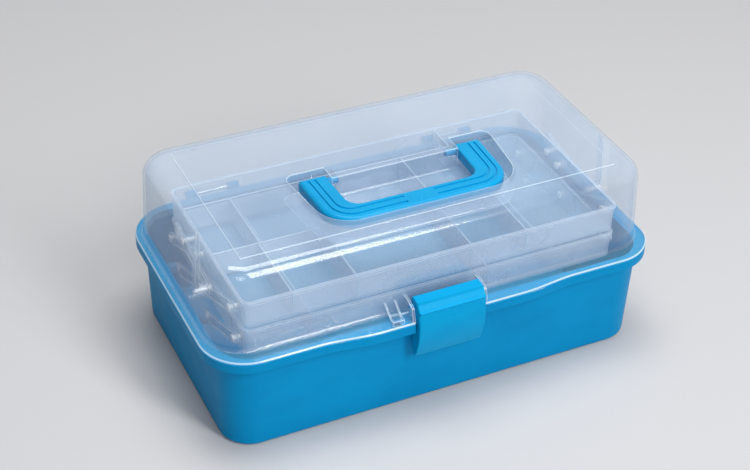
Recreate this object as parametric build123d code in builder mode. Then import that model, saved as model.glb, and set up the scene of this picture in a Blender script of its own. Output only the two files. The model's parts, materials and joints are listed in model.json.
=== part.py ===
from build123d import *
import math
import os

os.makedirs("parts", exist_ok=True)

# Three-tier tray box with a clear domed lid, a fold-down carry handle and a front latch.
# X runs along the length, Y to the hinge side, Z up. The origin is the centre of the base's underside.

# Rim of the base and flange of the lid, which share one outline
rim_length = 328.6
rim_width = 190.2
rim_corner = 32.0
rim_back_corner = 38.0
rim_top = 74.4
rim_depth = 6.4
rim_skin = 2.0
bow_reach = 3.9
bow_half_flat = 52.0
bow_half_foot = 94.0
flange_gap = 0.2
flange_thickness = 2.0
flange_chamfer = 0.8
rim_bottom = rim_top - rim_depth
flange_bottom = rim_top + flange_gap
flange_top = flange_bottom + flange_thickness
front_y = -rim_width / 2


def from_front(behind, above):
    """Returns the (y, z) point at a distance behind the rim's front line and above the rim."""
    return (front_y + behind, rim_top + above)


# Base
base_end_overhang = 10.15
base_side_overhang = 7.0
base_length = rim_length - 2 * base_end_overhang
base_width = rim_width - 2 * base_side_overhang
base_corner = 22.0
base_draft = 1.8
base_wall = 2.2
base_floor = 2.4
base_foot_radius = 3.5
base_inner_radius = 3.0
base_spread = rim_top * math.tan(math.radians(base_draft))

# Lid
lid_end_ledge = 5.2
lid_side_ledge = 12.3
lid_foot_length = rim_length - 2 * lid_end_ledge
lid_foot_width = rim_width - 2 * lid_side_ledge
lid_corner = 26.0
lid_draft = 2.7
lid_wall = 2.0
lid_height = 62.0
lid_top = rim_top + lid_height
lid_edge_radius = 11.3
panel_end_margin = 23.8
panel_side_margin = 17.45
panel_length = lid_foot_length - 2 * panel_end_margin
panel_width = lid_foot_width - 2 * panel_side_margin
panel_step = 0.8
shell_top = lid_top - panel_step
ceiling_z = shell_top - lid_wall
lid_lean = math.tan(math.radians(lid_draft))

# Handle well in the lid
well_depth = 15.0
well_half_back = 75.5
well_half_front = 69.0
well_back = 8.0
well_bend = 0.0
well_front = -56.0
well_front_radius = 24.0
well_corner_radius = 6.0
well_floor_radius = 2.0
well_floor = lid_top - well_depth

# Handle
handle_back_gap = 7.5
handle_corner_gap = 3.1
handle_front_gap = 4.0
handle_half_back = well_half_back - handle_back_gap
handle_half_front = well_half_front - handle_corner_gap
handle_front = well_front + handle_front_gap
handle_pivot_y = 0.5
handle_pivot_drop = 6.4
handle_pivot_z = lid_top - handle_pivot_drop
handle_pivot = (handle_pivot_y, handle_pivot_z)
handle_thickness = 8.4
handle_leg_band = 19.5
handle_grip_band = 15.5
handle_run_on = 50.0
handle_corner_radius = 22.0
handle_leg_corner = 5.0
handle_outer_radius = 3.0
handle_edge_radius = 1.4
handle_pin_radius = 2.5
handle_pin_tip = 0.6
handle_pin_play = 0.06
handle_inner_radius = 10.0
handle_bottom = handle_pivot_z - handle_thickness / 2
handle_top = handle_pivot_z + handle_thickness / 2
handle_inner_half = handle_half_back - handle_leg_band
block_gap = 1.2
block_bearing = 6.2
block_half = handle_inner_half - block_gap
block_front = -6.0
groove_width = 1.8
groove_depth = 0.9
groove_insets = ((5.1, 4.4), (9.6, 10.5))
groove_end = 0.0
grip_patch_half = 11.0

# Latch, in the notch of the rim
latch_x = -3.0
latch_width = 48.6
latch_side_gap = 1.1
latch_wall = 2.2
latch_crease_radius = 2.5
latch_side_radius = 1.0
latch_pivot = from_front(3.6, 10.1)
latch_pin_radius = 1.6
latch_pin_reach = 2.6
latch_pin_play = 0.06
latch_top_back = from_front(5.1, 16.6)
latch_crease = from_front(-4.4, 13.1)
latch_bulge = from_front(-7.3, -4.4)
latch_tip = from_front(-1.9, -27.9)
latch_heel_z = rim_top - 22.4
latch_shoulder_z = rim_top + 4.6
latch_rear_gap = 0.6
latch_neck = 3.2
notch_y = front_y + 4.1
notch_half = latch_width / 2 + latch_side_gap
latch_rear_y = notch_y - latch_rear_gap
catch_half = 15.0
catch_reach = 2.9
catch_height = 3.0
catch_clearance = 0.35
catch_top = rim_bottom
catch_y = -base_width / 2 - catch_top * math.tan(math.radians(base_draft)) - catch_reach
hook_drop = 2.2
hook_height = 3.0

# Cheeks of the lid beside the latch, and the padlock eye
cheek_thickness = 2.0
cheek_foot = (front_y - 3.5, flange_bottom)
cheek_shoulder = from_front(-0.9, 11.6)
cheek_top_front = from_front(7.1, 14.1)
eye_offset = 37.0
eye_x = latch_x - eye_offset
eye_y = front_y + 2.3
eye_hole = 5.0
eye_wall = 1.8
eye_height = 3.4
eye_rib = 1.4
eye_rib_height = 9.2
eye_rib_top = 1.0

# Trays
tray_end_room = 21.1
tray_side_room = 11.8
tray_length = lid_foot_length - 2 * tray_end_room
tray_width = lid_foot_width - 2 * tray_side_room
tray_centre_y = -3.4
tray_corner = 7.5
tray_height = 21.4
tray_gap = 0.6
tray_pitch = tray_height + tray_gap
tray_wall = 1.4
tray_floor = 1.4
tray_lip = 1.2
tray_lip_height = 2.2
tray_foot_radius = 2.5
tray_draft = 0.6
tray_front_y = tray_centre_y - tray_width / 2
tray_back_y = tray_centre_y + tray_width / 2
upper_tray_bottom = rim_top + 10.8
lower_tray_bottom = upper_tray_bottom - tray_pitch
divider_thickness = 1.2
divider_drop = 0.8
split_x = 66.0
split_ys = (41.5, -14.5)
middle_xs = (-102.5, 27.0)
front_xs = (-103.5, -59.0, 24.5)
lower_xs = (-90.0, 38.0, 88.0)

# Lever linkage: every lever carries its next pivot forwards and up by the same step
lever_run_share = 0.38028
lever_step = (-lever_run_share * tray_width, tray_pitch)
lever_length = math.hypot(*lever_step)
lever_width = 9.6
short_lever_width = 8.4
lever_thickness = 2.2
lever_gap = 0.6
lever_relief = 0.6
lever_edge = 1.6
lever_x = tray_length / 2 + lever_gap
link_gap = 1.7
link_x = lever_x + lever_thickness + link_gap
link_slot_short = 0.9
link_slot_long = 12.2
link_slot_play = 0.35
boss_radius = 5.0
boss_gap = 0.3
boss_rib = 2.4
boss_x = lever_x + lever_thickness + boss_gap
link_boss_x = link_x + lever_thickness + boss_gap
tray_boss_radius = 4.2
tray_boss_gap = 0.3
rivet_radius = 1.75
rivet_play = 0.06
rivet_seat = 0.02
rivet_head_radius = 2.8
rivet_head = 1.1
rivet_head_gap = 0.12
rivet_bite = 8.0
rivet_head_taper = 20
link_post_radius = 3.4

# Rib inside the lid that ends in the link's boss
link_rib_width = 7.0
link_rib_reach = 6.0

# Hinge
hinge_y = rim_width / 2 + 3.4
hinge_z = flange_bottom
hinge_radius = 3.2
hinge_pin_radius = 1.25
hinge_pin_play = 0.05
hinge_end_inset = 69.3
hinge_xs = (hinge_end_inset - rim_length / 2, rim_length / 2 - hinge_end_inset)
hinge_lid_knuckle = 23.0
hinge_base_knuckle = 8.0
hinge_end_gap = 0.3
hinge_relief = 0.7

# How far a cutter runs past the face that it cuts
cut_past = 1.0


def moved(place, steps):
    """Returns a pivot carried along the lever direction by a number of tray pitches."""
    return (place[0] + lever_step[0] * steps, place[1] + lever_step[1] * steps)


# Pivots on the right-hand side as (y, z) with the box shut
mid_pivot = (tray_centre_y - 0.6, lower_tray_bottom + 9.8)
front_tray_pivot = (tray_front_y + 12.4, mid_pivot[1])
rear_tray_pivot = (tray_back_y - 9.4, lower_tray_bottom + 8.3)
long_base_pivot = moved(mid_pivot, -1)
front_base_pivot = moved(front_tray_pivot, -1)
link_tray_pivot = (moved(rear_tray_pivot, 1)[0] + 14.6, upper_tray_bottom + 11.3)
link_lid_pivot = (link_tray_pivot[0] - 45.8, rim_top + 14.9)
lower_tray_rivets_at = (mid_pivot, front_tray_pivot, rear_tray_pivot)
upper_tray_rivets_at = (moved(mid_pivot, 1), moved(rear_tray_pivot, 1))


def side_plane(x, place, side):
    """Returns the plane at a pivot whose normal points out of the box's side."""
    return Plane(origin=(side * x, place[0], place[1]), x_dir=(0, 1, 0), z_dir=(side, 0, 0))


def cross_plane(x):
    """Returns the plane across the box at x, drawn in (y, z), whose normal points to +X."""
    return Plane(origin=(x, 0, 0), x_dir=(0, 1, 0), z_dir=(1, 0, 0))


def rim_outline(inset):
    """Returns the outline that rim and flange share, with its bowed front, moved in by the inset."""
    half_length = rim_length / 2 - inset
    half_width = rim_width / 2 - inset
    front_x = half_length - rim_corner + inset
    back_x = half_length - rim_back_corner + inset
    front = -half_width
    side_front = front + rim_corner - inset
    side_back = half_width - rim_back_corner + inset
    with BuildSketch(Plane.XY) as outline:
        with BuildLine():
            Line((-bow_half_flat, front - bow_reach), (bow_half_flat, front - bow_reach))
            Spline((bow_half_flat, front - bow_reach), (bow_half_foot, front), tangents=[(1, 0), (1, 0)])
            Line((bow_half_foot, front), (front_x, front))
            TangentArc((front_x, front), (half_length, side_front), tangent=(1, 0))
            Line((half_length, side_front), (half_length, side_back))
            TangentArc((half_length, side_back), (back_x, half_width), tangent=(0, 1))
            Line((back_x, half_width), (-back_x, half_width))
            TangentArc((-back_x, half_width), (-half_length, side_back), tangent=(-1, 0))
            Line((-half_length, side_back), (-half_length, side_front))
            TangentArc((-half_length, side_front), (-front_x, front), tangent=(0, -1))
            Line((-front_x, front), (-bow_half_foot, front))
            Spline((-bow_half_foot, front), (-bow_half_flat, front - bow_reach), tangents=[(1, 0), (1, 0)])
        make_face()
    return outline.sketch


def well_outline(wall, bearing):
    """Returns the handle well around its centre block, grown by a wall and by the block's bearings."""
    with BuildSketch(Plane.XY) as outline:
        with BuildLine():
            Polyline(
                (-well_half_back, well_back), (-well_half_back, well_bend), (-well_half_front, well_front),
                (well_half_front, well_front), (well_half_back, well_bend), (well_half_back, well_back),
                close=True,
            )
        make_face()
        fillet(outline.vertices().group_by(Axis.Y)[0], well_front_radius)
        fillet(outline.vertices().group_by(Axis.Y)[-1], well_corner_radius)
        if wall:
            offset(amount=wall)
        block_back = well_back + wall + cut_past
        with Locations((0, block_back)):
            Rectangle(
                2 * (block_half - bearing), block_back - block_front - wall, align=(Align.CENTER, Align.MAX),
                mode=Mode.SUBTRACT,
            )
    return outline.sketch


rim_face = rim_outline(0)
rim_pocket_face = rim_outline(rim_skin)
well_face = well_outline(0, 0)
well_shell_face = well_outline(lid_wall, block_bearing)

# Base box: drafted tub with an overhanging rim, lever bosses, latch catch and hinge knuckles
boss_wall_x = base_length / 2 + long_base_pivot[1] * math.tan(math.radians(base_draft)) - base_wall / 2

with BuildPart() as base_box:
    with BuildSketch(Plane.XY):
        RectangleRounded(base_length, base_width, base_corner)
    extrude(amount=rim_top, taper=-base_draft)
    fillet(base_box.edges().group_by(Axis.Z)[0], base_foot_radius)
    with BuildSketch(Plane.XY.offset(rim_bottom)):
        add(rim_face)
    extrude(amount=rim_depth)
    with BuildSketch(Plane.XY.offset(rim_bottom)):
        add(rim_pocket_face)
        RectangleRounded(
            base_length + 2 * base_spread, base_width + 2 * base_spread, base_corner + base_spread,
            mode=Mode.SUBTRACT,
        )
        with Locations((latch_x, 0)):
            Rectangle(
                2 * (notch_half + rim_skin), rim_width, align=(Align.CENTER, Align.MAX), mode=Mode.SUBTRACT,
            )
    extrude(amount=rim_depth - rim_skin, mode=Mode.SUBTRACT)
    with BuildSketch(Plane.XY.offset(base_floor)):
        RectangleRounded(base_length - 2 * base_wall, base_width - 2 * base_wall, base_corner - base_wall)
    extrude(amount=rim_top - base_floor, taper=-base_draft, mode=Mode.SUBTRACT)
    fillet(base_box.edges().filter_by_position(Axis.Z, base_floor, base_floor), base_inner_radius)
    for side in (1, -1):
        for pivot in (long_base_pivot, front_base_pivot):
            with BuildSketch(side_plane(boss_x, pivot, side)):
                Circle(boss_radius)
            extrude(amount=boss_wall_x - boss_x)
            with BuildSketch(Plane(origin=(0, pivot[0], 0), x_dir=(1, 0, 0), z_dir=(0, -1, 0))):
                with BuildLine():
                    Polyline(
                        (side * (boss_x + boss_rib), base_floor / 2),
                        (side * (base_length / 2 - base_wall), base_floor / 2),
                        (side * boss_wall_x, pivot[1]), (side * (boss_x + boss_rib), pivot[1]), close=True,
                    )
                make_face()
            extrude(amount=boss_rib / 2, both=True)
            with BuildSketch(side_plane(boss_x, pivot, side)):
                Circle(rivet_radius + rivet_seat)
            extrude(amount=rivet_bite + rivet_seat, mode=Mode.SUBTRACT)
    with BuildSketch(Plane.XY.offset(rim_bottom - cut_past)):
        with Locations((latch_x, notch_y)):
            Rectangle(2 * notch_half, rim_width, align=(Align.CENTER, Align.MAX))
    extrude(amount=rim_depth + 2 * cut_past, mode=Mode.SUBTRACT)
    with BuildSketch(cross_plane(latch_x)):
        with BuildLine():
            Polyline(
                (catch_y, catch_top), (catch_y, catch_top - catch_height / 2),
                (catch_y + catch_reach, catch_top - catch_height),
                (catch_y + catch_reach + base_wall / 2, catch_top), close=True,
            )
        make_face()
    extrude(amount=catch_half, both=True)
    with BuildSketch(Plane.XY.offset(rim_bottom)):
        with Locations((eye_x, eye_y)):
            Rectangle(eye_hole, eye_hole)
    extrude(amount=rim_depth, mode=Mode.SUBTRACT)
    for hinge_x in hinge_xs:
        with BuildSketch(Plane.XY.offset(rim_bottom)):
            with Locations((hinge_x, rim_width / 2 - hinge_relief)):
                Rectangle(
                    hinge_lid_knuckle + 2 * hinge_end_gap, hinge_radius, align=(Align.CENTER, Align.MIN),
                )
        extrude(amount=rim_depth, mode=Mode.SUBTRACT)
        for side in (1, -1):
            knuckle_x = hinge_x + side * (hinge_lid_knuckle / 2 + hinge_end_gap + hinge_base_knuckle / 2)
            with BuildSketch(cross_plane(knuckle_x)):
                with BuildLine():
                    Polyline(
                        (rim_width / 2 - rim_skin / 2, rim_top), (rim_width / 2, rim_top),
                        (hinge_y, hinge_z), (hinge_y, hinge_z - hinge_radius),
                        (rim_width / 2 - rim_skin / 2, rim_bottom), close=True,
                    )
                make_face()
                with Locations((hinge_y, hinge_z)):
                    Circle(hinge_radius)
                    Circle(hinge_pin_radius + hinge_pin_play, mode=Mode.SUBTRACT)
            extrude(amount=hinge_base_knuckle / 2, both=True)

# Space inside the lid: the drafted dome less the handle well's shell and the two link ribs
with BuildPart() as lid_hollow:
    with BuildSketch(Plane.XY.offset(flange_bottom)):
        RectangleRounded(lid_foot_length - 2 * lid_wall, lid_foot_width - 2 * lid_wall, lid_corner - lid_wall)
    extrude(amount=ceiling_z - flange_bottom, taper=lid_draft)
    fillet(lid_hollow.edges().group_by(Axis.Z)[-1], lid_edge_radius - lid_wall)
    with BuildSketch(Plane.XY.offset(well_floor - lid_wall)):
        add(well_shell_face)
    extrude(amount=well_depth + lid_wall, mode=Mode.SUBTRACT)
    for side in (1, -1):
        wall_foot_x = lid_foot_length / 2 - lid_wall
        rib_y = link_lid_pivot[0]
        with BuildSketch(Plane(origin=(0, rib_y, 0), x_dir=(1, 0, 0), z_dir=(0, -1, 0))):
            with BuildLine():
                Polyline(
                    (side * (wall_foot_x - link_rib_reach), link_lid_pivot[1]),
                    (side * lid_foot_length / 2, link_lid_pivot[1]),
                    (side * lid_foot_length / 2, lid_top),
                    (side * (wall_foot_x - link_rib_reach - lid_lean * (lid_top - flange_bottom)), lid_top),
                    close=True,
                )
            make_face()
        extrude(amount=link_rib_width / 2, both=True, mode=Mode.SUBTRACT)
        with BuildSketch(side_plane(link_boss_x, link_lid_pivot, side)):
            Circle(boss_radius)
        extrude(amount=lid_foot_length / 2 - link_boss_x, mode=Mode.SUBTRACT)

with BuildPart() as handle_well:
    with BuildSketch(Plane.XY.offset(well_floor)):
        add(well_face)
    extrude(amount=well_depth + cut_past)
    fillet(handle_well.edges().group_by(Axis.Z)[0], well_floor_radius)

# Flange of the lid, with a bevelled top edge, open at the latch and at the base's hinge knuckles
with BuildPart() as lid_flange:
    with BuildSketch(Plane.XY.offset(flange_bottom)):
        add(rim_face)
    extrude(amount=flange_thickness)
    chamfer(lid_flange.edges().group_by(Axis.Z)[-1], flange_chamfer)
    with BuildSketch(Plane.XY.offset(flange_bottom)):
        with Locations((latch_x, notch_y)):
            Rectangle(2 * notch_half, rim_width, align=(Align.CENTER, Align.MAX))
        for hinge_x in hinge_xs:
            for side in (1, -1):
                knuckle_x = hinge_x + side * (hinge_lid_knuckle / 2 + hinge_end_gap + hinge_base_knuckle / 2)
                with Locations((knuckle_x, rim_width / 2 - hinge_relief)):
                    Rectangle(
                        hinge_base_knuckle + 2 * hinge_end_gap, hinge_radius, align=(Align.CENTER, Align.MIN),
                    )
    extrude(amount=flange_thickness, mode=Mode.SUBTRACT)

# Lid: clear dome and flange in one moulding, with latch cheeks, padlock eye and hinge knuckles
with BuildPart() as lid:
    with BuildSketch(Plane.XY.offset(flange_bottom)):
        RectangleRounded(lid_foot_length, lid_foot_width, lid_corner)
    extrude(amount=shell_top - flange_bottom, taper=lid_draft)
    fillet(lid.edges().group_by(Axis.Z)[-1], lid_edge_radius)
    with BuildSketch(Plane.XY.offset(shell_top)):
        Rectangle(panel_length, panel_width)
    extrude(amount=panel_step)
    add(lid_flange.part)
    for side in (1, -1):
        with BuildSketch(cross_plane(latch_x + side * (notch_half + cheek_thickness / 2))):
            with BuildLine():
                Polyline(
                    (-lid_foot_width / 2 + lid_wall / 2, flange_bottom), cheek_foot, cheek_shoulder,
                    cheek_top_front, (-lid_foot_width / 2 + lid_wall, cheek_top_front[1]), close=True,
                )
            make_face()
            with Locations(latch_pivot):
                Circle(latch_pin_radius + latch_pin_play, mode=Mode.SUBTRACT)
        extrude(amount=cheek_thickness / 2, both=True)
    with BuildSketch(Plane.XY.offset(flange_top)):
        with Locations((eye_x, eye_y)):
            Rectangle(eye_hole + 2 * eye_wall, eye_hole + 2 * eye_wall)
    extrude(amount=eye_height)
    for side in (1, -1):
        with BuildSketch(cross_plane(eye_x + side * (eye_hole / 2 + eye_wall - eye_rib / 2))):
            with BuildLine():
                Polyline(
                    (-lid_foot_width / 2 + lid_wall, flange_top), (eye_y, flange_top),
                    (eye_y, flange_top + eye_height),
                    (-lid_foot_width / 2 - eye_rib_top, flange_top + eye_rib_height),
                    (-lid_foot_width / 2 + lid_wall, flange_top + eye_rib_height), close=True,
                )
            make_face()
        extrude(amount=eye_rib / 2, both=True)
    with BuildSketch(Plane.XY.offset(flange_top)):
        with Locations((eye_x + eye_hole / 2 + eye_wall, eye_y + eye_hole / 2)):
            Rectangle(
                latch_x - notch_half - eye_x - eye_hole / 2 - eye_wall, eye_rib,
                align=(Align.MIN, Align.CENTER),
            )
    extrude(amount=eye_height)
    add(lid_hollow.part, mode=Mode.SUBTRACT)
    add(handle_well.part, mode=Mode.SUBTRACT)
    with BuildSketch(Plane.XY.offset(flange_bottom)):
        with Locations((eye_x, eye_y)):
            Rectangle(eye_hole, eye_hole)
    extrude(amount=flange_thickness + eye_height, mode=Mode.SUBTRACT)
    for side in (1, -1):
        with BuildSketch(side_plane(block_half - block_bearing - cut_past, handle_pivot, side)):
            Circle(handle_pin_radius + handle_pin_play)
        extrude(amount=block_bearing + 2 * cut_past, mode=Mode.SUBTRACT)
        with BuildSketch(side_plane(link_boss_x, link_lid_pivot, side)):
            Circle(rivet_radius + rivet_seat)
        extrude(amount=rivet_bite + rivet_seat, mode=Mode.SUBTRACT)
    for hinge_x in hinge_xs:
        with BuildSketch(cross_plane(hinge_x)):
            with BuildLine():
                Polyline(
                    (rim_width / 2 - rim_skin, flange_bottom), (hinge_y, flange_bottom),
                    (hinge_y, hinge_z + hinge_radius), (rim_width / 2 - rim_skin, flange_top), close=True,
                )
            make_face()
            with Locations((hinge_y, hinge_z)):
                Circle(hinge_radius)
                Circle(hinge_pin_radius + hinge_pin_play, mode=Mode.SUBTRACT)
        extrude(amount=hinge_lid_knuckle / 2, both=True)


def bail_outline(leg_inset, grip_inset, radius):
    """Returns the handle's outer outline, moved in at legs and grip and run on behind the leg ends."""
    lean = (handle_half_back - handle_half_front) / (handle_pivot_y - handle_front)
    half_front = handle_half_front - leg_inset + lean * grip_inset
    half_back = handle_half_back - leg_inset + lean * handle_run_on
    back_y = handle_pivot_y + handle_run_on
    with BuildSketch(Plane.XY) as outline:
        with BuildLine():
            Polyline(
                (-half_back, back_y), (-half_front, handle_front + grip_inset),
                (half_front, handle_front + grip_inset), (half_back, back_y), close=True,
            )
        make_face()
        fillet(outline.vertices().group_by(Axis.Y)[0], radius)
    return outline.sketch


# Handle: one U-shaped bail with rounded leg ends, two grooves and pins that point into the block
with BuildPart() as handle:
    with BuildSketch(Plane.XY.offset(handle_bottom)) as bail:
        add(bail_outline(0, 0, handle_corner_radius))
        add(bail_outline(handle_leg_band, handle_grip_band, handle_inner_radius), mode=Mode.SUBTRACT)
        with Locations((0, handle_pivot_y + handle_thickness / 2 + cut_past)):
            Rectangle(rim_length, rim_width, align=(Align.CENTER, Align.MIN), mode=Mode.SUBTRACT)
        leg_ends = bail.vertices().group_by(Axis.Y)[-1]
        leg_corners = [end for end in leg_ends if abs(end.X) > handle_inner_half + handle_leg_band / 2]
        fillet(leg_corners, handle_leg_corner)
    extrude(amount=handle_thickness)
    grip_middle_y = handle_front + handle_grip_band / 2
    for outer, radius in ((True, handle_outer_radius), (False, handle_edge_radius)):
        bail_edges = [
            edge for edge in handle.edges().group_by(Axis.Z)[-1]
            if outer == (abs(edge.center().X) > handle_inner_half + radius or edge.center().Y < grip_middle_y)
        ]
        fillet(bail_edges, radius)
    fillet(handle.edges().group_by(Axis.Z)[0], handle_edge_radius)
    with BuildSketch(cross_plane(0)):
        with Locations(handle_pivot):
            Circle(handle_thickness / 2)
            Rectangle(-2 * handle_front, handle_thickness, align=(Align.MAX, Align.CENTER))
    extrude(amount=handle_half_back, both=True, mode=Mode.INTERSECT)
    with BuildSketch(Plane.XY.offset(handle_top - groove_depth)):
        for leg_inset, grip_inset in groove_insets:
            add(bail_outline(leg_inset, grip_inset, handle_corner_radius - leg_inset))
            add(
                bail_outline(
                    leg_inset + groove_width, grip_inset + groove_width,
                    handle_corner_radius - leg_inset - groove_width,
                ),
                mode=Mode.SUBTRACT,
            )
        with Locations((0, groove_end)):
            Rectangle(rim_length, rim_width, align=(Align.CENTER, Align.MIN), mode=Mode.SUBTRACT)
        with Locations((0, handle_front)):
            Rectangle(2 * grip_patch_half, 2 * handle_grip_band, mode=Mode.SUBTRACT)
    extrude(amount=groove_depth, mode=Mode.SUBTRACT)
    pin_tip_x = block_half - block_bearing - handle_pin_tip
    for side in (1, -1):
        with BuildSketch(side_plane(pin_tip_x, handle_pivot, side)):
            Circle(handle_pin_radius)
        extrude(amount=handle_inner_half + handle_pin_radius - pin_tip_x)

# Latch: bulged front plate with folded top, two side cheeks, pivot stubs and a hook under the catch
latch_inner_back = (latch_rear_y + latch_neck + cut_past, latch_top_back[1] - latch_wall)
latch_inner_crease = (latch_crease[0] + latch_wall, latch_crease[1] - latch_wall)
latch_inner_tip = (latch_tip[0] + latch_wall, latch_tip[1])
hook_top = catch_top - catch_height - hook_drop
hook_root_y = latch_bulge[0] + latch_wall

with BuildPart() as latch:
    with BuildSketch(cross_plane(latch_x)) as latch_profile:
        with BuildLine():
            Line(latch_top_back, latch_crease)
            ThreePointArc(latch_crease, latch_bulge, latch_tip)
            Polyline(
                latch_tip, (latch_rear_y, latch_heel_z), (latch_rear_y, latch_shoulder_z),
                (latch_rear_y + latch_neck, latch_shoulder_z + latch_wall),
                (latch_rear_y + latch_neck, latch_top_back[1] - latch_wall / 2), latch_top_back,
            )
        make_face()
        fillet(latch_profile.vertices().sort_by_distance(latch_crease)[0], latch_crease_radius)
    extrude(amount=latch_width / 2, both=True)
    latch_sides = latch.faces().sort_by(Axis.X)
    side_edges = latch_sides[0].edges() + latch_sides[-1].edges()
    front_edges = [
        edge for edge in side_edges
        if edge.center().Y < latch_rear_y - latch_wall / 2 and edge.center().Z > latch_heel_z
    ]
    fillet(front_edges, latch_side_radius)
    with BuildSketch(cross_plane(latch_x)):
        with BuildLine():
            Line(latch_inner_back, latch_inner_crease)
            ThreePointArc(latch_inner_crease, (latch_bulge[0] + latch_wall, latch_bulge[1]), latch_inner_tip)
            Polyline(latch_inner_tip, (latch_inner_back[0], latch_tip[1]), latch_inner_back)
        make_face()
    extrude(amount=latch_width / 2 - latch_wall, both=True, mode=Mode.SUBTRACT)
    for side in (1, -1):
        with BuildSketch(cross_plane(latch_x + side * latch_width / 2)):
            with Locations(latch_pivot):
                Circle(latch_pin_radius)
        extrude(amount=side * latch_pin_reach)
    with BuildSketch(cross_plane(latch_x)):
        with BuildLine():
            Polyline(
                (hook_root_y, hook_top), (catch_y - catch_clearance, hook_top),
                (catch_y - catch_clearance, hook_top - hook_height / 2),
                (hook_root_y, hook_top - hook_height), close=True,
            )
        make_face()
    extrude(amount=catch_half, both=True)


def tray(bottom, along_ys, across, rivets_at, link_boss):
    """Returns one tray with its dividers and the side bosses that the levers bear on."""
    top = bottom + tray_height
    spread = tray_height * math.tan(math.radians(tray_draft))
    outer_length = tray_length - 2 * tray_lip
    outer_width = tray_width - 2 * tray_lip
    outer_corner = tray_corner - tray_lip
    floor_top = bottom + tray_floor
    centre = Plane(origin=(0, tray_centre_y, 0))
    with BuildPart() as made:
        with BuildSketch(centre.offset(bottom)):
            RectangleRounded(outer_length - 2 * spread, outer_width - 2 * spread, outer_corner - spread)
        extrude(amount=tray_height, taper=-tray_draft)
        fillet(made.edges().group_by(Axis.Z)[0], tray_foot_radius)
        with BuildSketch(centre.offset(top - tray_lip_height)):
            RectangleRounded(tray_length, tray_width, tray_corner)
        extrude(amount=tray_lip_height)
        with BuildSketch(centre.offset(floor_top)):
            RectangleRounded(
                outer_length - 2 * spread - 2 * tray_wall, outer_width - 2 * spread - 2 * tray_wall,
                outer_corner - spread - tray_wall,
            )
        extrude(amount=tray_height - tray_floor, taper=-tray_draft, mode=Mode.SUBTRACT)
        floor_edges = made.edges().filter_by_position(Axis.Z, floor_top, floor_top)
        fillet(floor_edges, tray_foot_radius - tray_wall / 2)
        end_x = outer_length / 2 - spread - tray_wall / 2
        end_y = outer_width / 2 - spread - tray_wall / 2
        with BuildSketch(Plane.XY.offset(floor_top - tray_floor / 2)):
            for start_x, stop_x, wall_y in along_ys:
                low_x = max(start_x, -end_x)
                high_x = min(stop_x, end_x)
                with Locations(((low_x + high_x) / 2, wall_y)):
                    Rectangle(high_x - low_x, divider_thickness)
            for wall_x, start_y, stop_y in across:
                low_y = max(start_y, tray_centre_y - end_y)
                high_y = min(stop_y, tray_centre_y + end_y)
                with Locations((wall_x, (low_y + high_y) / 2)):
                    Rectangle(divider_thickness, high_y - low_y)
        extrude(amount=tray_height - tray_floor / 2 - divider_drop)
        for side in (1, -1):
            for place in rivets_at:
                with BuildSketch(side_plane(end_x, place, side)):
                    Circle(tray_boss_radius)
                extrude(amount=tray_length / 2 + tray_boss_gap - end_x)
            for place in link_boss:
                with BuildSketch(side_plane(end_x, place, side)):
                    Circle(link_post_radius)
                extrude(amount=link_x - boss_gap - end_x)
            for place in (*rivets_at, *link_boss):
                with BuildSketch(side_plane(end_x - 2 * tray_wall, place, side)):
                    Circle(rivet_radius + rivet_seat)
                extrude(amount=4 * tray_wall + link_x - end_x, mode=Mode.SUBTRACT)
    return made


far = tray_length
upper_tray = tray(
    upper_tray_bottom,
    [(-far, split_x, split_ys[0]), (-far, split_x, split_ys[1])],
    [(split_x, -far, far)]
    + [(wall_x, split_ys[1], split_ys[0]) for wall_x in middle_xs]
    + [(wall_x, -far, split_ys[1]) for wall_x in front_xs],
    upper_tray_rivets_at, (link_tray_pivot,),
)

lower_tray = tray(
    lower_tray_bottom, [], [(wall_x, -far, far) for wall_x in lower_xs], lower_tray_rivets_at, (),
)


def lever(first, steps, width, side):
    """Returns a flat lever from its first pivot over a number of equal steps, with a sunk outer web."""
    reach = steps * lever_length
    along = Plane(
        origin=(side * lever_x, first[0], first[1]), x_dir=(0, lever_step[0], lever_step[1]),
        z_dir=(side, 0, 0),
    )
    with BuildPart() as made:
        with BuildSketch(along):
            with Locations((reach / 2, 0)):
                SlotCenterToCenter(reach, width)
            for step in range(steps + 1):
                with Locations((step * lever_length, 0)):
                    Circle(rivet_radius + rivet_play, mode=Mode.SUBTRACT)
        extrude(amount=lever_thickness)
        with BuildSketch(along.offset(lever_thickness - lever_relief)):
            for step in range(steps):
                with Locations(((step + 0.5) * lever_length, 0)):
                    SlotCenterToCenter(lever_length - 2 * width, width - 2 * lever_edge)
        extrude(amount=lever_relief, mode=Mode.SUBTRACT)
    return made


def lid_link(side):
    """Returns the lid's link, with a round eye at the lid and a long slot at the upper tray."""
    run = link_tray_pivot[0] - link_lid_pivot[0]
    rise = link_tray_pivot[1] - link_lid_pivot[1]
    reach = math.hypot(run, rise)
    slot_start = reach - link_slot_short
    slot_end = reach + link_slot_long
    along = Plane(
        origin=(side * link_x, link_lid_pivot[0], link_lid_pivot[1]), x_dir=(0, run, rise),
        z_dir=(side, 0, 0),
    )
    with BuildPart() as made:
        with BuildSketch(along):
            with Locations((slot_end / 2, 0)):
                SlotCenterToCenter(slot_end, lever_width)
            Circle(rivet_radius + rivet_play, mode=Mode.SUBTRACT)
            with Locations(((slot_start + slot_end) / 2, 0)):
                SlotCenterToCenter(
                    slot_end - slot_start, 2 * (rivet_radius + link_slot_play), mode=Mode.SUBTRACT,
                )
        extrude(amount=lever_thickness)
        with BuildSketch(along.offset(lever_thickness - lever_relief)):
            with Locations((slot_start / 2, 0)):
                SlotCenterToCenter(slot_start - 2 * lever_width, lever_width - 2 * lever_edge)
        extrude(amount=lever_relief, mode=Mode.SUBTRACT)
    return made


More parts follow.
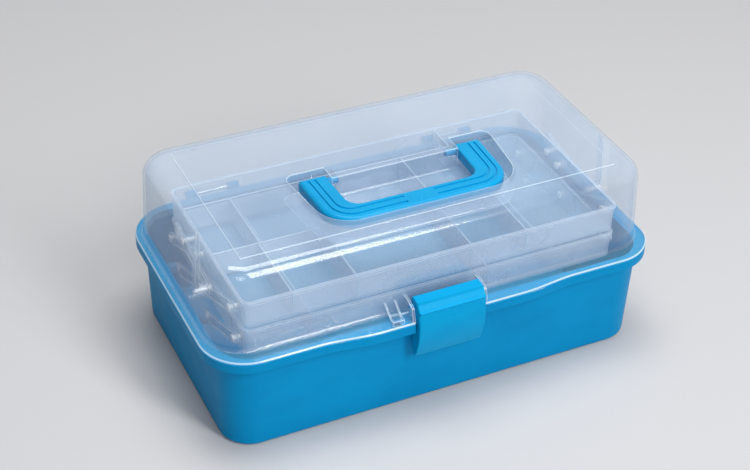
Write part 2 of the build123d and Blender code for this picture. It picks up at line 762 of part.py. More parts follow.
def rivets(places, inner_x, outer_x, headed_inside, headed_outside):
    """Returns one rivet at each place on both sides, from inner_x to outer_x, with domed heads."""
    with BuildPart() as made:
        for side in (1, -1):
            for place in places:
                with BuildSketch(side_plane(inner_x, place, side)):
                    Circle(rivet_radius)
                extrude(amount=outer_x - inner_x)
                if headed_outside:
                    with BuildSketch(side_plane(outer_x, place, side)):
                        Circle(rivet_head_radius)
                    extrude(amount=rivet_head, taper=rivet_head_taper)
                if headed_inside:
                    with BuildSketch(side_plane(inner_x, place, side)):
                        Circle(rivet_head_radius)
                    extrude(amount=-rivet_head, taper=rivet_head_taper)
    return made


levers = {}
for side, name in ((1, "right"), (-1, "left")):
    levers["long_lever_" + name] = lever(long_base_pivot, 2, lever_width, side)
    levers["front_lever_" + name] = lever(front_base_pivot, 1, short_lever_width, side)
    levers["rear_lever_" + name] = lever(rear_tray_pivot, 1, short_lever_width, side)
    levers["lid_link_" + name] = lid_link(side)

tray_inner_x = tray_length / 2 - tray_lip - tray_wall - tray_height * math.tan(math.radians(tray_draft))
lever_outer_x = lever_x + lever_thickness + rivet_head_gap
link_outer_x = link_x + lever_thickness + rivet_head_gap
base_rivets = rivets(
    (long_base_pivot, front_base_pivot), lever_x - rivet_head_gap, boss_x + rivet_bite, True, False,
)
lower_tray_rivets = rivets(lower_tray_rivets_at, tray_inner_x - rivet_head_gap, lever_outer_x, True, True)
upper_tray_rivets = rivets(upper_tray_rivets_at, tray_inner_x - rivet_head_gap, lever_outer_x, True, True)
link_tray_rivets = rivets((link_tray_pivot,), tray_inner_x - rivet_head_gap, link_outer_x, True, True)
lid_link_rivets = rivets((link_lid_pivot,), link_x - rivet_head_gap, link_boss_x + rivet_bite, True, False)

# Hinge pins: one straight wire through each group of knuckles
hinge_pins = {}
for hinge_x, name in zip(hinge_xs, ("left", "right")):
    with BuildPart() as hinge_pin:
        with BuildSketch(cross_plane(hinge_x)):
            with Locations((hinge_y, hinge_z)):
                Circle(hinge_pin_radius)
        extrude(amount=hinge_lid_knuckle / 2 + hinge_end_gap + hinge_base_knuckle, both=True)
    hinge_pins["hinge_pin_" + name] = hinge_pin

pieces = {
    "base_box": base_box, "lid": lid, "handle": handle, "latch": latch,
    "upper_tray": upper_tray, "lower_tray": lower_tray, **levers,
    "base_rivets": base_rivets, "lower_tray_rivets": lower_tray_rivets,
    "upper_tray_rivets": upper_tray_rivets, "link_tray_rivets": link_tray_rivets,
    "lid_link_rivets": lid_link_rivets, **hinge_pins,
}
for name, piece in pieces.items():
    piece.part.label = name
    export_step(piece.part, "parts/" + name + ".step")
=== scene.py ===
import json
import math

import bmesh
import bpy
from mathutils import Matrix, Vector

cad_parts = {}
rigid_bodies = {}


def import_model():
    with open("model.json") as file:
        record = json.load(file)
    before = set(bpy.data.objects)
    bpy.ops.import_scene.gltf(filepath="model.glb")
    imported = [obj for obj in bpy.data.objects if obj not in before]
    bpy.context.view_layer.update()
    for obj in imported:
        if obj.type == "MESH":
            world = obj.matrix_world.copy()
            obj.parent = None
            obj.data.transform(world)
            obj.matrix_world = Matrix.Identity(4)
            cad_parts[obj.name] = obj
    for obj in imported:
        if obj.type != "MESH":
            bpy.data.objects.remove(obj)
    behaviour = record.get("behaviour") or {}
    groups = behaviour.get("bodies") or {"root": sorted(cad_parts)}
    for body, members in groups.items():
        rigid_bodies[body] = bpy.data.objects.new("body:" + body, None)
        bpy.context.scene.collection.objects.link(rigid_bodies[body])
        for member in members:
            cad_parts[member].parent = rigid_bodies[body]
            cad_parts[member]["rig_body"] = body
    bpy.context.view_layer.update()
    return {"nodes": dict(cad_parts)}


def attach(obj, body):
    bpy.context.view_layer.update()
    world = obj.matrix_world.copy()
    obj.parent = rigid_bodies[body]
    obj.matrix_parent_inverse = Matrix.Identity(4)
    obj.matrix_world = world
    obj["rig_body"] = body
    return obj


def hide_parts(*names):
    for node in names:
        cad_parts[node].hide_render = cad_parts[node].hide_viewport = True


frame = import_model()
scene = bpy.context.scene

# Base box. A deep tub of blue polypropylene, moulded in one shot with its rim, lever bosses and hinge
# knuckles. Its skin is satin, with a faint mould grain and a slightly cloudy flow in the colour.


def new_material(name):
    """Returns an empty material with its output and Principled shader."""
    made = bpy.data.materials.new(name)
    made.use_nodes = True
    made.node_tree.nodes.clear()
    shader = made.node_tree.nodes.new("ShaderNodeBsdfPrincipled")
    output = made.node_tree.nodes.new("ShaderNodeOutputMaterial")
    made.node_tree.links.new(shader.outputs["BSDF"], output.inputs["Surface"])
    return made, shader


def add_noise(tree, scale, detail, roughness=0.5, stretch=(1, 1, 1)):
    """Returns the value of a noise on the piece's own coordinates, scale in cycles per metre."""
    place = tree.nodes.new("ShaderNodeTexCoord")
    turn = tree.nodes.new("ShaderNodeMapping")
    turn.inputs["Scale"].default_value = stretch
    noise = tree.nodes.new("ShaderNodeTexNoise")
    noise.inputs["Scale"].default_value = scale
    noise.inputs["Detail"].default_value = detail
    noise.inputs["Roughness"].default_value = roughness
    tree.links.new(place.outputs["Object"], turn.inputs["Vector"])
    tree.links.new(turn.outputs["Vector"], noise.inputs["Vector"])
    return noise.outputs["Fac"]


def spread(tree, value, low, high):
    """Returns a noise value carried to the range from low to high."""
    ranged = tree.nodes.new("ShaderNodeMapRange")
    ranged.inputs["From Min"].default_value = 0.25
    ranged.inputs["From Max"].default_value = 0.75
    ranged.inputs["To Min"].default_value = low
    ranged.inputs["To Max"].default_value = high
    tree.links.new(value, ranged.inputs["Value"])
    return ranged.outputs["Result"]


def blend_colours(tree, value, dark, pale):
    """Returns the colour between dark and pale at a value from 0 to 1."""
    mix = tree.nodes.new("ShaderNodeMix")
    mix.data_type = "RGBA"
    mix.inputs["A"].default_value = dark
    mix.inputs["B"].default_value = pale
    tree.links.new(value, mix.inputs["Factor"])
    return mix.outputs["Result"]


def moulded(name, dark, pale, satin, grain_depth, grain_scale=1400, gloss=0.3):
    """Returns a moulded plastic: flow clouds in the colour, uneven satin and a fine grain."""
    made, shader = new_material(name)
    tree = made.node_tree
    shader.inputs["Specular IOR Level"].default_value = gloss
    flow = spread(tree, add_noise(tree, 18, 4, 0.6, (1, 1, 2.2)), 0, 1)
    tree.links.new(blend_colours(tree, flow, dark, pale), shader.inputs["Base Color"])
    tree.links.new(spread(tree, add_noise(tree, 60, 5, 0.6), *satin), shader.inputs["Roughness"])
    bump = tree.nodes.new("ShaderNodeBump")
    bump.inputs["Strength"].default_value = 0.35
    bump.inputs["Distance"].default_value = grain_depth
    tree.links.new(add_noise(tree, grain_scale, 2), bump.inputs["Height"])
    tree.links.new(bump.outputs["Normal"], shader.inputs["Normal"])
    return made


def shade_by_angle(shape, crease):
    """Smooths a shape's faces and keeps its edges sharp above the crease angle in degrees."""
    for edge in shape.edges:
        edge.smooth = len(edge.link_faces) == 2 and edge.calc_face_angle(0) < math.radians(crease)
    for face in shape.faces:
        face.smooth = True


def face_width(face):
    """Returns the width that a long narrow face has, from its area and outline."""
    return 2 * face.calc_area() / face.calc_perimeter()


corner_merge = 2e-6
sliver = 1e-7
flat_angle = math.radians(0.4)
corner_angle = math.radians(50)


def merged_copy(node):
    """Returns a CAD node's mesh with its corners merged and its flat faces whole again."""
    shape = bmesh.new()
    shape.from_mesh(frame["nodes"][node].data)
    bmesh.ops.remove_doubles(shape, verts=shape.verts, dist=corner_merge)
    bmesh.ops.dissolve_degenerate(shape, edges=shape.edges, dist=sliver)
    bmesh.ops.dissolve_limit(
        shape, angle_limit=flat_angle, use_dissolve_boundaries=False, verts=shape.verts, edges=shape.edges,
    )
    for face in shape.faces:
        face.material_index = 0
    return shape


def soften_edges(shape, width, finish, least=1.1, least_length=1.4):
    """Rounds the outer edges of faces that are wide enough, and gives the rounding one of the finishes."""
    chosen = [
        edge for edge in shape.edges
        if len(edge.link_faces) == 2 and edge.is_convex and edge.calc_face_angle(0) > corner_angle
        and edge.calc_length() > least_length * width
        and min(face_width(face) for face in edge.link_faces) > least * width
    ]
    bmesh.ops.bevel(
        shape, geom=chosen, offset=width, offset_type="OFFSET", segments=2, profile=0.5, affect="EDGES",
        clamp_overlap=False, material=finish,
    )


painted_glint_finish = 1


def stand_in(shape, node, name, finishes, glint_width=0.003, crease=32.0, sharp_share=0.55):
    """Makes a shape the piece for a CAD node. Its narrow sharp-edged faces take the painted edge highlight.
    """
    shade_by_angle(shape, crease)
    if len(finishes) > 1:
        for face in shape.faces:
            sharp = sum(edge.calc_length() for edge in face.edges if not edge.smooth)
            if face_width(face) < glint_width and sharp > sharp_share * face.calc_perimeter():
                face.material_index = painted_glint_finish
    mesh = bpy.data.meshes.new(name)
    for finish in finishes:
        mesh.materials.append(finish)
    shape.to_mesh(mesh)
    shape.free()
    piece = bpy.data.objects.new(name, mesh)
    scene.collection.objects.link(piece)
    even = piece.modifiers.new("even_shading", "WEIGHTED_NORMAL")
    even.keep_sharp = True
    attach(piece, frame["nodes"][node]["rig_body"])
    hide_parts(node)
    return piece


base_blue = moulded(
    "base_blue", (0.0, 0.215, 0.465, 1), (0.0, 0.26, 0.535, 1), (0.34, 0.46), 0.00003, gloss=0.06,
)
base_edge_round = 0.0004
base_ring_widths = 6.5
base_shape = merged_copy("base_box")
soften_edges(base_shape, base_edge_round, 0, base_ring_widths)
stand_in(base_shape, "base_box", "base_tub", [base_blue])

# Trays. Two thin-walled trays of natural polypropylene, each moulded in one piece with its dividers.
# The plastic has no pigment. It is clearest in the floors and milky in the walls and the lip. Along its
# edges a pale, nearly white painted highlight stands in for the bright glint of light on them.


def natural_plastic(
    name, dark, pale, haze, satin, gloss=0.5, density=1.6, wave_depth=0.000008, wave_scale=90,
):
    """Returns plastic with no pigment. Haze is its least and most cover, and its gain where seen edge-on."""
    made, shader = new_material(name)
    tree = made.node_tree
    shader.inputs["Specular IOR Level"].default_value = gloss
    shader.inputs["IOR"].default_value = density
    cloud = spread(tree, add_noise(tree, 14, 3, 0.55), 0, 1)
    tree.links.new(blend_colours(tree, cloud, dark, pale), shader.inputs["Base Color"])
    tree.links.new(spread(tree, add_noise(tree, 45, 4), *satin), shader.inputs["Roughness"])
    least_haze, most_haze, edge_haze = haze
    milky = spread(tree, add_noise(tree, 9, 3), least_haze, most_haze)
    edge_on = tree.nodes.new("ShaderNodeLayerWeight")
    edge_on.inputs["Blend"].default_value = 0.35
    thicker = tree.nodes.new("ShaderNodeMapRange")
    thicker.inputs["To Max"].default_value = edge_haze
    tree.links.new(edge_on.outputs["Facing"], thicker.inputs["Value"])
    total = tree.nodes.new("ShaderNodeMath")
    total.operation = "ADD"
    total.use_clamp = True
    tree.links.new(milky, total.inputs[0])
    tree.links.new(thicker.outputs["Result"], total.inputs[1])
    tree.links.new(total.outputs["Value"], shader.inputs["Alpha"])
    bump = tree.nodes.new("ShaderNodeBump")
    bump.inputs["Strength"].default_value = 0.2
    bump.inputs["Distance"].default_value = wave_depth
    tree.links.new(add_noise(tree, wave_scale, 1), bump.inputs["Height"])
    tree.links.new(bump.outputs["Normal"], shader.inputs["Normal"])
    return made


tray_clear = natural_plastic(
    "tray_clear", (0.40, 0.60, 0.78, 1), (0.50, 0.70, 0.86, 1), (0.08, 0.12, 0.36), (0.24, 0.36),
)
# Painted highlight: a pale, nearly white and fairly opaque colour for the narrow rounded edges, standing in
# for the glint of light along them.
tray_painted_glint = natural_plastic(
    "tray_painted_glint", (0.70, 0.86, 0.98, 1), (0.84, 0.94, 1.0, 1), (0.42, 0.56, 0.3), (0.20, 0.30),
)
tray_wall = natural_plastic(
    "tray_wall", (0.60, 0.68, 0.80, 1), (0.70, 0.77, 0.88, 1), (0.20, 0.28, 0.30), (0.24, 0.36),
)
wall_finish = 2
tray_edge_round = 0.0004
lip_depth = 0.0002
level_normal = 0.9
upright_normal = 0.3
for node, name in (("lower_tray", "lower_tray_moulding"), ("upper_tray", "upper_tray_moulding")):
    tray_shape = merged_copy(node)
    soften_edges(tray_shape, tray_edge_round, painted_glint_finish)
    tray_top = max(corner.co.z for corner in tray_shape.verts)
    for face in tray_shape.faces:
        lip = face.normal.z > level_normal and face.calc_center_median().z > tray_top - lip_depth
        if lip or (face.material_index == 0 and abs(face.normal.z) < upright_normal):
            face.material_index = wall_finish
    stand_in(tray_shape, node, name, [tray_clear, tray_painted_glint, tray_wall])

# Levers and lid links. Flat straps of the same natural plastic, moulded with a sunk web between their
# round eyes. Three levers a side carry the trays, and a slotted link a side ties the upper tray to the lid.
lever_clear = natural_plastic(
    "lever_clear", (0.60, 0.74, 0.90, 1), (0.70, 0.82, 0.95, 1), (0.10, 0.16, 0.26), (0.24, 0.34),
)
# The straps' rounded edges take the same painted edge highlight as the trays.
strap_edge_round = 0.0003
strap_glint_width = 0.0012
for side in ("left", "right"):
    for node in ("long_lever_", "front_lever_", "rear_lever_", "lid_link_"):
        strap_shape = merged_copy(node + side)
        soften_edges(strap_shape, strap_edge_round, painted_glint_finish)
        strap = stand_in(
            strap_shape, node + side, node + "strap_" + side, [lever_clear, tray_painted_glint], strap_glint_width,
        )

# Lid. One moulding of natural polypropylene: dome, flange, handle well, latch cheeks and padlock eye.
# It is glossier and clearer than the trays, with soft waves in its skin and a painted highlight along its
# edges, and its hinge knuckles at the back share their pins with the base.
lid_waves = {"wave_depth": 0.0000012, "wave_scale": 30}
lid_clear = natural_plastic(
    "lid_clear", (0.42, 0.60, 0.82, 1), (0.52, 0.70, 0.90, 1), (0.07, 0.10, 0.36), (0.13, 0.16), 1.0, 2.8,
    **lid_waves,
)
# Painted light: the clear flange is tinted bright cyan, standing in for the lit blue rim of the base seen
# through it.
lid_flange_painted_light = natural_plastic(
    "lid_flange_painted_light", (0.20, 0.72, 0.95, 1), (0.30, 0.80, 1.0, 1), (0.05, 0.08, 0.14), (0.13, 0.17), 1.0, 2.4,
    **lid_waves,
)
# Painted highlight: a pale, nearly white colour for the lid's narrow rounded edges, standing in for the glint
# of light along them.
lid_painted_glint = natural_plastic(
    "lid_painted_glint", (0.72, 0.88, 1.0, 1), (0.86, 0.95, 1.0, 1), (0.40, 0.52, 0.2), (0.12, 0.18), 0.5, 1.5,
    **lid_waves,
)
lid_inside = natural_plastic(
    "lid_inside", (0.42, 0.60, 0.82, 1), (0.52, 0.70, 0.90, 1), (0.05, 0.08, 0.30), (0.30, 0.40), 0.3, 1.45,
    **lid_waves,
)
painted_flange_light_finish = 2
inside_finish = 3
lid_edge_round = 0.0005
lid_glint_width = 0.0012
flange_top = 0.0766
flange_top_band = 0.0001
dome_middle = Vector((0, 0, 0.1))
dome_foot_radius = 0.0024
latch_room_left, latch_room_right = -0.05, 0.026
middle_half = 0.02
lid_shape = merged_copy("lid")
dome_foot = [
    edge for edge in lid_shape.edges
    if len(edge.link_faces) == 2 and not edge.is_convex and edge.calc_face_angle(0) > corner_angle
    and all(abs(corner.co.z - flange_top) < 1e-5 for corner in edge.verts)
    and not all(latch_room_left < corner.co.x < latch_room_right and corner.co.y < 0 for corner in edge.verts)
    and max(abs(corner.co.x) for corner in edge.verts) > middle_half
]
bmesh.ops.bevel(
    lid_shape, geom=dome_foot, offset=dome_foot_radius, offset_type="OFFSET", segments=5, profile=0.5,
    affect="EDGES", clamp_overlap=False, material=0,
)
soften_edges(lid_shape, lid_edge_round, painted_glint_finish)
# Faces of the flange take the painted cyan light, and inward faces above it take the inside finish.
for face in lid_shape.faces:
    plain = face.material_index == 0
    height = face.calc_center_median().z
    inward = face.normal.dot(face.calc_center_median() - dome_middle) < 0
    if height < flange_top - lid_edge_round or (plain and height < flange_top + flange_top_band):
        face.material_index = painted_flange_light_finish
    elif plain and inward:
        face.material_index = inside_finish
lid_finishes = [lid_clear, lid_painted_glint, lid_flange_painted_light, lid_inside]
stand_in(lid_shape, "lid", "lid_dome", lid_finishes, lid_glint_width)

# Rivets. White acetal rivets, each a round shank with one or two low domed heads, pressed in after the
# levers. Each stands at its (y, z) on both sides, and runs outwards between the two x of its ends.
rivet_white = moulded("rivet_white", (0.74, 0.78, 0.82, 1), (0.86, 0.88, 0.90, 1), (0.28, 0.38), 0.00001)
rivet_shank_radius = 0.00175
rivet_head_radius = 0.0028
rivet_head_rise = 0.0011
rivet_sides = 32
rivet_head_rings = 6
head_rim_share, head_dome_share = 0.45, 0.55
gate_area, gate_depth = 0.05, 0.12
in_boss = {"ends": (0.13848, 0.1491), "heads": (True, False)}
through_tray = {"ends": (0.135056, 0.14092), "heads": (True, True)}
through_tray_and_link = {"ends": (0.135056, 0.14482), "heads": (True, True)}
in_lid_rib = {"ends": (0.14238, 0.153), "heads": (True, False)}
rivet_sets = {
    "base_rivet_set": ("base", ("base_rivets",), [((0.05, 0.051), in_boss), ((-0.008, 0.051), in_boss)]),
    "lower_tray_rivet_set": ("lower_tray", ("lower_tray_rivets",), [
        ((-0.004, 0.073), through_tray), ((-0.062, 0.073), through_tray), ((0.0582, 0.0715), through_tray),
    ]),
    "upper_tray_rivet_set": ("upper_tray", ("upper_tray_rivets", "link_tray_rivets"), [
        ((-0.058, 0.095), through_tray), ((0.0042, 0.0935), through_tray),
        ((0.0188, 0.0965), through_tray_and_link),
    ]),
    "lid_rivet_set": ("lid", ("lid_link_rivets",), [((-0.027, 0.0893), in_lid_rib)]),
}


def plan_rivets():
    """Returns the geometry tree that turns points with their direction and reach into rivets."""
    tree = bpy.data.node_groups.new("rivets_on_points", "GeometryNodeTree")
    tree.interface.new_socket("Points", in_out="INPUT", socket_type="NodeSocketGeometry")
    for label in ("Shank radius", "Head radius", "Head rise"):
        tree.interface.new_socket(label, in_out="INPUT", socket_type="NodeSocketFloat")
    tree.interface.new_socket("Plastic", in_out="INPUT", socket_type="NodeSocketMaterial")
    tree.interface.new_socket("Rivets", in_out="OUTPUT", socket_type="NodeSocketGeometry")
    link = tree.links.new
    given = tree.nodes.new("NodeGroupInput")
    result = tree.nodes.new("NodeGroupOutput")

    def math_node(operation, first, second):
        node = tree.nodes.new("ShaderNodeMath")
        node.operation = operation
        for place, value in enumerate((first, second)):
            if isinstance(value, (int, float)):
                node.inputs[place].default_value = value
            else:
                link(value, node.inputs[place])
        return node.outputs["Value"]

    def point_value(label, kind):
        node = tree.nodes.new("GeometryNodeInputNamedAttribute")
        node.data_type = kind
        node.inputs["Name"].default_value = label
        return node.outputs["Attribute"]

    def cylinder(radius, depth, rings):
        node = tree.nodes.new("GeometryNodeMeshCylinder")
        node.fill_type = "TRIANGLE_FAN"
        node.inputs["Vertices"].default_value = rivet_sides
        node.inputs["Fill Segments"].default_value = rings
        link(radius, node.inputs["Radius"])
        link(depth, node.inputs["Depth"])
        return node.outputs["Mesh"]

    # Head: a low cylinder whose top ring rises to a dome with a small gate mark in its middle
    head_depth = math_node("MULTIPLY", given.outputs["Head rise"], head_rim_share)
    here = tree.nodes.new("GeometryNodeInputPosition")
    parts = tree.nodes.new("ShaderNodeSeparateXYZ")
    link(here.outputs["Position"], parts.inputs["Vector"])
    across_x = math_node("POWER", parts.outputs["X"], 2.0)
    across_y = math_node("POWER", parts.outputs["Y"], 2.0)
    whole = math_node("POWER", given.outputs["Head radius"], 2.0)
    share = math_node("DIVIDE", math_node("ADD", across_x, across_y), whole)
    dome = math_node("MULTIPLY", math_node("SUBTRACT", 1.0, share), head_dome_share)
    gate = math_node("MULTIPLY", math_node("LESS_THAN", share, gate_area), gate_depth)
    lifted = math_node("MULTIPLY", math_node("SUBTRACT", dome, gate), given.outputs["Head rise"])
    on_top = math_node("GREATER_THAN", parts.outputs["Z"], 0.0)
    raised = math_node("ADD", math_node("MULTIPLY", lifted, on_top), math_node("MULTIPLY", head_depth, 0.5))
    lift = tree.nodes.new("ShaderNodeCombineXYZ")
    link(raised, lift.inputs["Z"])
    head = tree.nodes.new("GeometryNodeSetPosition")
    link(cylinder(given.outputs["Head radius"], head_depth, rivet_head_rings), head.inputs["Geometry"])
    link(lift.outputs["Vector"], head.inputs["Offset"])

    # Shank: one unit long from its foot, stretched by each point's reach
    unit = tree.nodes.new("ShaderNodeValue")
    unit.outputs["Value"].default_value = 1.0
    shank = tree.nodes.new("GeometryNodeTransform")
    link(cylinder(given.outputs["Shank radius"], unit.outputs["Value"], 1), shank.inputs["Geometry"])
    shank.inputs["Translation"].default_value = (0, 0, 0.5)

    outward = point_value("outward", "FLOAT_VECTOR")
    reach = point_value("reach", "FLOAT")

    def flipped(vector):
        node = tree.nodes.new("ShaderNodeVectorMath")
        node.operation = "SCALE"
        node.inputs["Scale"].default_value = -1.0
        link(vector, node.inputs[0])
        return node.outputs["Vector"]

    def instances(points, shape, direction, chosen=None, stretch=None):
        turn = tree.nodes.new("FunctionNodeAlignRotationToVector")
        turn.axis = "Z"
        link(direction, turn.inputs["Vector"])
        node = tree.nodes.new("GeometryNodeInstanceOnPoints")
        link(points, node.inputs["Points"])
        link(shape, node.inputs["Instance"])
        link(turn.outputs["Rotation"], node.inputs["Rotation"])
        if chosen:
            link(chosen, node.inputs["Selection"])
        if stretch:
            link(stretch, node.inputs["Scale"])
        return node.outputs["Instances"]

    stretch = tree.nodes.new("ShaderNodeCombineXYZ")
    stretch.inputs["X"].default_value = 1.0
    stretch.inputs["Y"].default_value = 1.0
    link(reach, stretch.inputs["Z"])
    travel = tree.nodes.new("ShaderNodeVectorMath")
    travel.operation = "SCALE"
    link(outward, travel.inputs[0])
    link(reach, travel.inputs["Scale"])
    outer_points = tree.nodes.new("GeometryNodeSetPosition")
    link(given.outputs["Points"], outer_points.inputs["Geometry"])
    link(travel.outputs["Vector"], outer_points.inputs["Offset"])

    joined = tree.nodes.new("GeometryNodeJoinGeometry")
    head_shape = head.outputs["Geometry"]
    inner_points = given.outputs["Points"]
    inside = point_value("headed_inside", "BOOLEAN")
    outside = point_value("headed_outside", "BOOLEAN")
    for placed in (
        instances(inner_points, shank.outputs["Geometry"], outward, None, stretch.outputs["Vector"]),
        instances(inner_points, head_shape, flipped(outward), inside),
        instances(outer_points.outputs["Geometry"], head_shape, outward, outside),
    ):
        link(placed, joined.inputs["Geometry"])
    real = tree.nodes.new("GeometryNodeRealizeInstances")
    finish = tree.nodes.new("GeometryNodeSetMaterial")
    link(joined.outputs["Geometry"], real.inputs["Geometry"])
    link(real.outputs["Geometry"], finish.inputs["Geometry"])
    link(given.outputs["Plastic"], finish.inputs["Material"])
    link(finish.outputs["Geometry"], result.inputs["Rivets"])
    return tree


rivet_plan = plan_rivets()
rivet_inputs = {
    "Shank radius": rivet_shank_radius, "Head radius": rivet_head_radius, "Head rise": rivet_head_rise,
    "Plastic": rivet_white,
}
point_labels = {
    "outward": "FLOAT_VECTOR", "reach": "FLOAT", "headed_inside": "BOOLEAN", "headed_outside": "BOOLEAN",
}
rivet_merge = 1e-7
rivet_crease = 40
for name, (body, nodes, places) in rivet_sets.items():
    rows = [(side, at, *fit["ends"], *fit["heads"]) for side in (1, -1) for at, fit in places]
    points = bpy.data.meshes.new(name + "_points")
    points.from_pydata([(side * inner_x, *at) for side, at, inner_x, *_ in rows], [], [])
    for label, kind in point_labels.items():
        points.attributes.new(label, kind, "POINT")
    for row, (side, at, inner_x, outer_x, inside, outside) in enumerate(rows):
        points.attributes["outward"].data[row].vector = (side, 0, 0)
        points.attributes["reach"].data[row].value = outer_x - inner_x
        points.attributes["headed_inside"].data[row].value = inside
        points.attributes["headed_outside"].data[row].value = outside
    host = bpy.data.objects.new(name + "_host", points)
    scene.collection.objects.link(host)
    pressed = host.modifiers.new("rivets", "NODES")
    pressed.node_group = rivet_plan
    for socket in rivet_plan.interface.items_tree:
        if socket.name in rivet_inputs:
            pressed[socket.identifier] = rivet_inputs[socket.name]
    mesh = bpy.data.meshes.new_from_object(host.evaluated_get(bpy.context.evaluated_depsgraph_get()))
    bpy.data.objects.remove(host)
    shape = bmesh.new()
    shape.from_mesh(mesh)
    bmesh.ops.remove_doubles(shape, verts=shape.verts, dist=rivet_merge)
    shade_by_angle(shape, rivet_crease)
    shape.to_mesh(mesh)
    shape.free()
    mesh.name = name
    rivet_set = bpy.data.objects.new(name, mesh)
    scene.collection.objects.link(rivet_set)
    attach(rivet_set, body)
    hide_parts(*nodes)

# Hinge pins. Two lengths of plain drawn steel wire, cut and pushed through the knuckles of base and lid.
# Each keeps the CAD's own shape and takes a dull, faintly drawn steel finish.
pin_steel = moulded("pin_steel", (0.50, 0.50, 0.50, 1), (0.62, 0.62, 0.61, 1), (0.22, 0.36), 0.00001)
pin_steel.node_tree.nodes["Principled BSDF"].inputs["Metallic"].default_value = 1.0
for node in ("hinge_pin_left", "hinge_pin_right"):
    frame["nodes"][node].material_slots[0].material = pin_steel

# Handle. A flat U-shaped bail of blue polypropylene, with two moulded grooves that follow its outline.
# Its pins snap into the well of the lid, where it lies flush, and it is glossier than the base.
handle_blue = moulded(
    "handle_blue", (0.001, 0.27, 0.55, 1), (0.002, 0.33, 0.63, 1), (0.20, 0.32), 0.00002, gloss=0.16,
)
handle_edge_round = 0.0002
handle_shape = merged_copy("handle")
soften_edges(handle_shape, handle_edge_round, 0)
stand_in(handle_shape, "handle", "carry_handle", [handle_blue])

# Latch. A bulged plate of blue polypropylene, moulded with its cheeks, pivot stubs and hook.
# It turns between the cheeks of the lid and snaps over the rim's catch. Its top edge is a rounded brow
# with a soft crease.
latch_blue = moulded(
    "latch_blue", (0.0, 0.275, 0.545, 1), (0.001, 0.33, 0.63, 1), (0.34, 0.44), 0.00001, gloss=0.07,
)
latch_shape = merged_copy("latch")
latch_edge_round = 0.0004
brow_foot = 0.072
brow_behind = -0.095
brow_radius = 0.007
brow_centre = Vector((-0.09383, 0.08213))
brow_start, brow_end = math.radians(110.2), math.radians(163.7)
crease_radius = 0.0025
crease_depth = 0.0013
brow_cuts = 9
for cut in range(brow_cuts + 1):
    turn = brow_start + (brow_end - brow_start) * cut / brow_cuts
    near = [
        face for face in latch_shape.faces
        if face.calc_center_median().z > brow_foot and min(corner.co.y for corner in face.verts) < brow_behind
    ]
    cut_parts = list({part for face in near for part in (face, *face.edges, *face.verts)})
    bmesh.ops.bisect_plane(
        latch_shape, geom=cut_parts, dist=sliver,
        plane_co=(0, *brow_centre), plane_no=(0, -math.sin(turn), math.cos(turn)),
    )
middle = (brow_start + brow_end) / 2
crease_reach = (brow_radius - crease_radius) / math.cos((brow_end - brow_start) / 2)
for corner in latch_shape.verts:
    arm = Vector((corner.co.y, corner.co.z)) - brow_centre
    turn = math.atan2(arm.y, arm.x)
    if not brow_start < turn < brow_end:
        continue
    flat = brow_radius / max(math.cos(turn - brow_start), math.cos(brow_end - turn))
    off = abs(turn - middle)
    sagitta = crease_radius ** 2 - (crease_reach * math.sin(off)) ** 2
    crease = crease_reach * math.cos(off) + math.sqrt(sagitta) if sagitta > 0 else flat
    surface = min(flat, crease)
    if arm.length > surface - crease_depth:
        arm *= (arm.length - (surface - brow_radius)) / arm.length
        corner.co.y, corner.co.z = brow_centre + arm
soften_edges(latch_shape, latch_edge_round, 0)
stand_in(latch_shape, "latch", "latch_plate", [latch_blue])

# Floor and light. A flat, matt, pale grey floor under a pale sky, lit by three soft boxes: a tall one at the
# front right, a weaker one at the front left and a wide one overhead.
floor_half = 6.0
floor_mesh = bpy.data.meshes.new("floor")
floor_mesh.from_pydata(
    [(-floor_half, -floor_half, 0), (floor_half, -floor_half, 0), (floor_half, floor_half, 0),
     (-floor_half, floor_half, 0)],
    [], [(0, 1, 2, 3)],
)
floor = bpy.data.objects.new("floor", floor_mesh)
scene.collection.objects.link(floor)
floor_pale, floor_shader = new_material("floor_pale")
floor_shader.inputs["Base Color"].default_value = (0.53, 0.53, 0.54, 1)
floor_shader.inputs["Roughness"].default_value = 0.8
floor_mesh.materials.append(floor_pale)

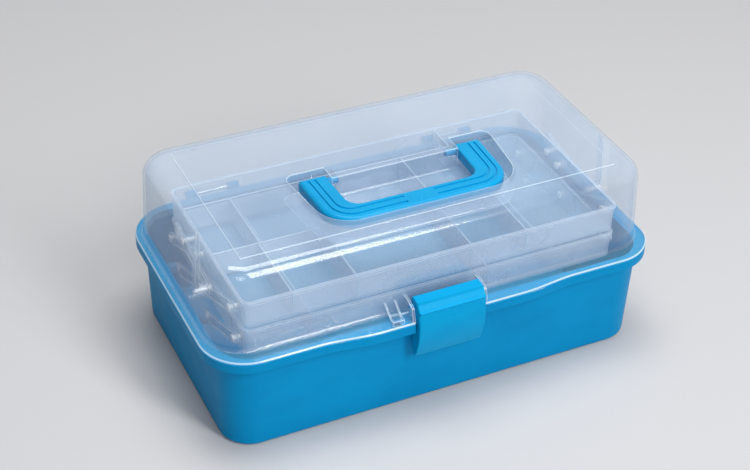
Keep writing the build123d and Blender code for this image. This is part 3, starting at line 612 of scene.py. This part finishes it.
world = bpy.data.worlds.new("studio")
world.use_nodes = True
world_tree = world.node_tree
room_light, room_seen = 0.14, 1.0
room = world_tree.nodes["Background"]
room.inputs["Color"].default_value = (0.86, 0.88, 0.92, 1)
ray = world_tree.nodes.new("ShaderNodeLightPath")
seen = ray.outputs["Is Camera Ray"]
for kind in ("Is Glossy Ray", "Is Transmission Ray"):
    either = world_tree.nodes.new("ShaderNodeMath")
    either.operation = "MAXIMUM"
    world_tree.links.new(seen, either.inputs[0])
    world_tree.links.new(ray.outputs[kind], either.inputs[1])
    seen = either.outputs["Value"]
level = world_tree.nodes.new("ShaderNodeMapRange")
level.inputs["To Min"].default_value = room_light
level.inputs["To Max"].default_value = room_seen
world_tree.links.new(seen, level.inputs["Value"])
world_tree.links.new(level.outputs["Result"], room.inputs["Strength"])
scene.world = world


def soft_box(name, place, aim, size, power):
    """Adds a rectangular soft box at a place, turned to its aim."""
    light = bpy.data.lights.new(name, "AREA")
    light.shape = "RECTANGLE"
    light.size, light.size_y = size
    light.energy = power
    made = bpy.data.objects.new(name, light)
    scene.collection.objects.link(made)
    made.location = place
    made.rotation_mode = "QUATERNION"
    made.rotation_quaternion = (Vector(aim) - Vector(place)).to_track_quat("-Z", "Y")


soft_box("key_box", (0.62, -1.75, 1.55), (0, 0, 0.08), (0.5, 1.4), 34)
soft_box("front_box", (-0.6, -1.75, 1.2), (0, 0, 0.08), (0.9, 0.9), 12)
soft_box("top_box", (0.1, 0.1, 2.0), (0, 0, 0.1), (1.4, 0.9), 30)

# Camera. It stands at the angle of the photograph, which was fitted to the straight edges of the box, and
# its lens follows from the fitted focal length in pixels and the width of the picture.
focal_px = 1568.565
image_px = 750
sensor = 36.0
yaw, pitch, roll = math.radians(-26.110), math.radians(35.745), math.radians(1.609)
aim_at = Vector((-0.007749, 0.007438, 0.070))
distance = 1.09974
right = Vector((math.cos(yaw), math.sin(yaw), 0))
back = Vector((math.sin(yaw) * math.cos(pitch), -math.cos(yaw) * math.cos(pitch), math.sin(pitch)))
up = back.cross(right)
rolled_right = math.cos(roll) * right + math.sin(roll) * up
rolled_up = -math.sin(roll) * right + math.cos(roll) * up
camera_data = bpy.data.cameras.new("camera")
camera_data.sensor_width = sensor
camera_data.lens = focal_px / image_px * sensor
camera = bpy.data.objects.new("camera", camera_data)
scene.collection.objects.link(camera)
place = aim_at + back * distance
camera.matrix_world = Matrix((
    (rolled_right.x, rolled_up.x, back.x, place.x),
    (rolled_right.y, rolled_up.y, back.y, place.y),
    (rolled_right.z, rolled_up.z, back.z, place.z),
    (0, 0, 0, 1),
))
scene.camera = camera
scene.view_settings.view_transform = "Standard"
scene.cycles.transparent_max_bounces = 48
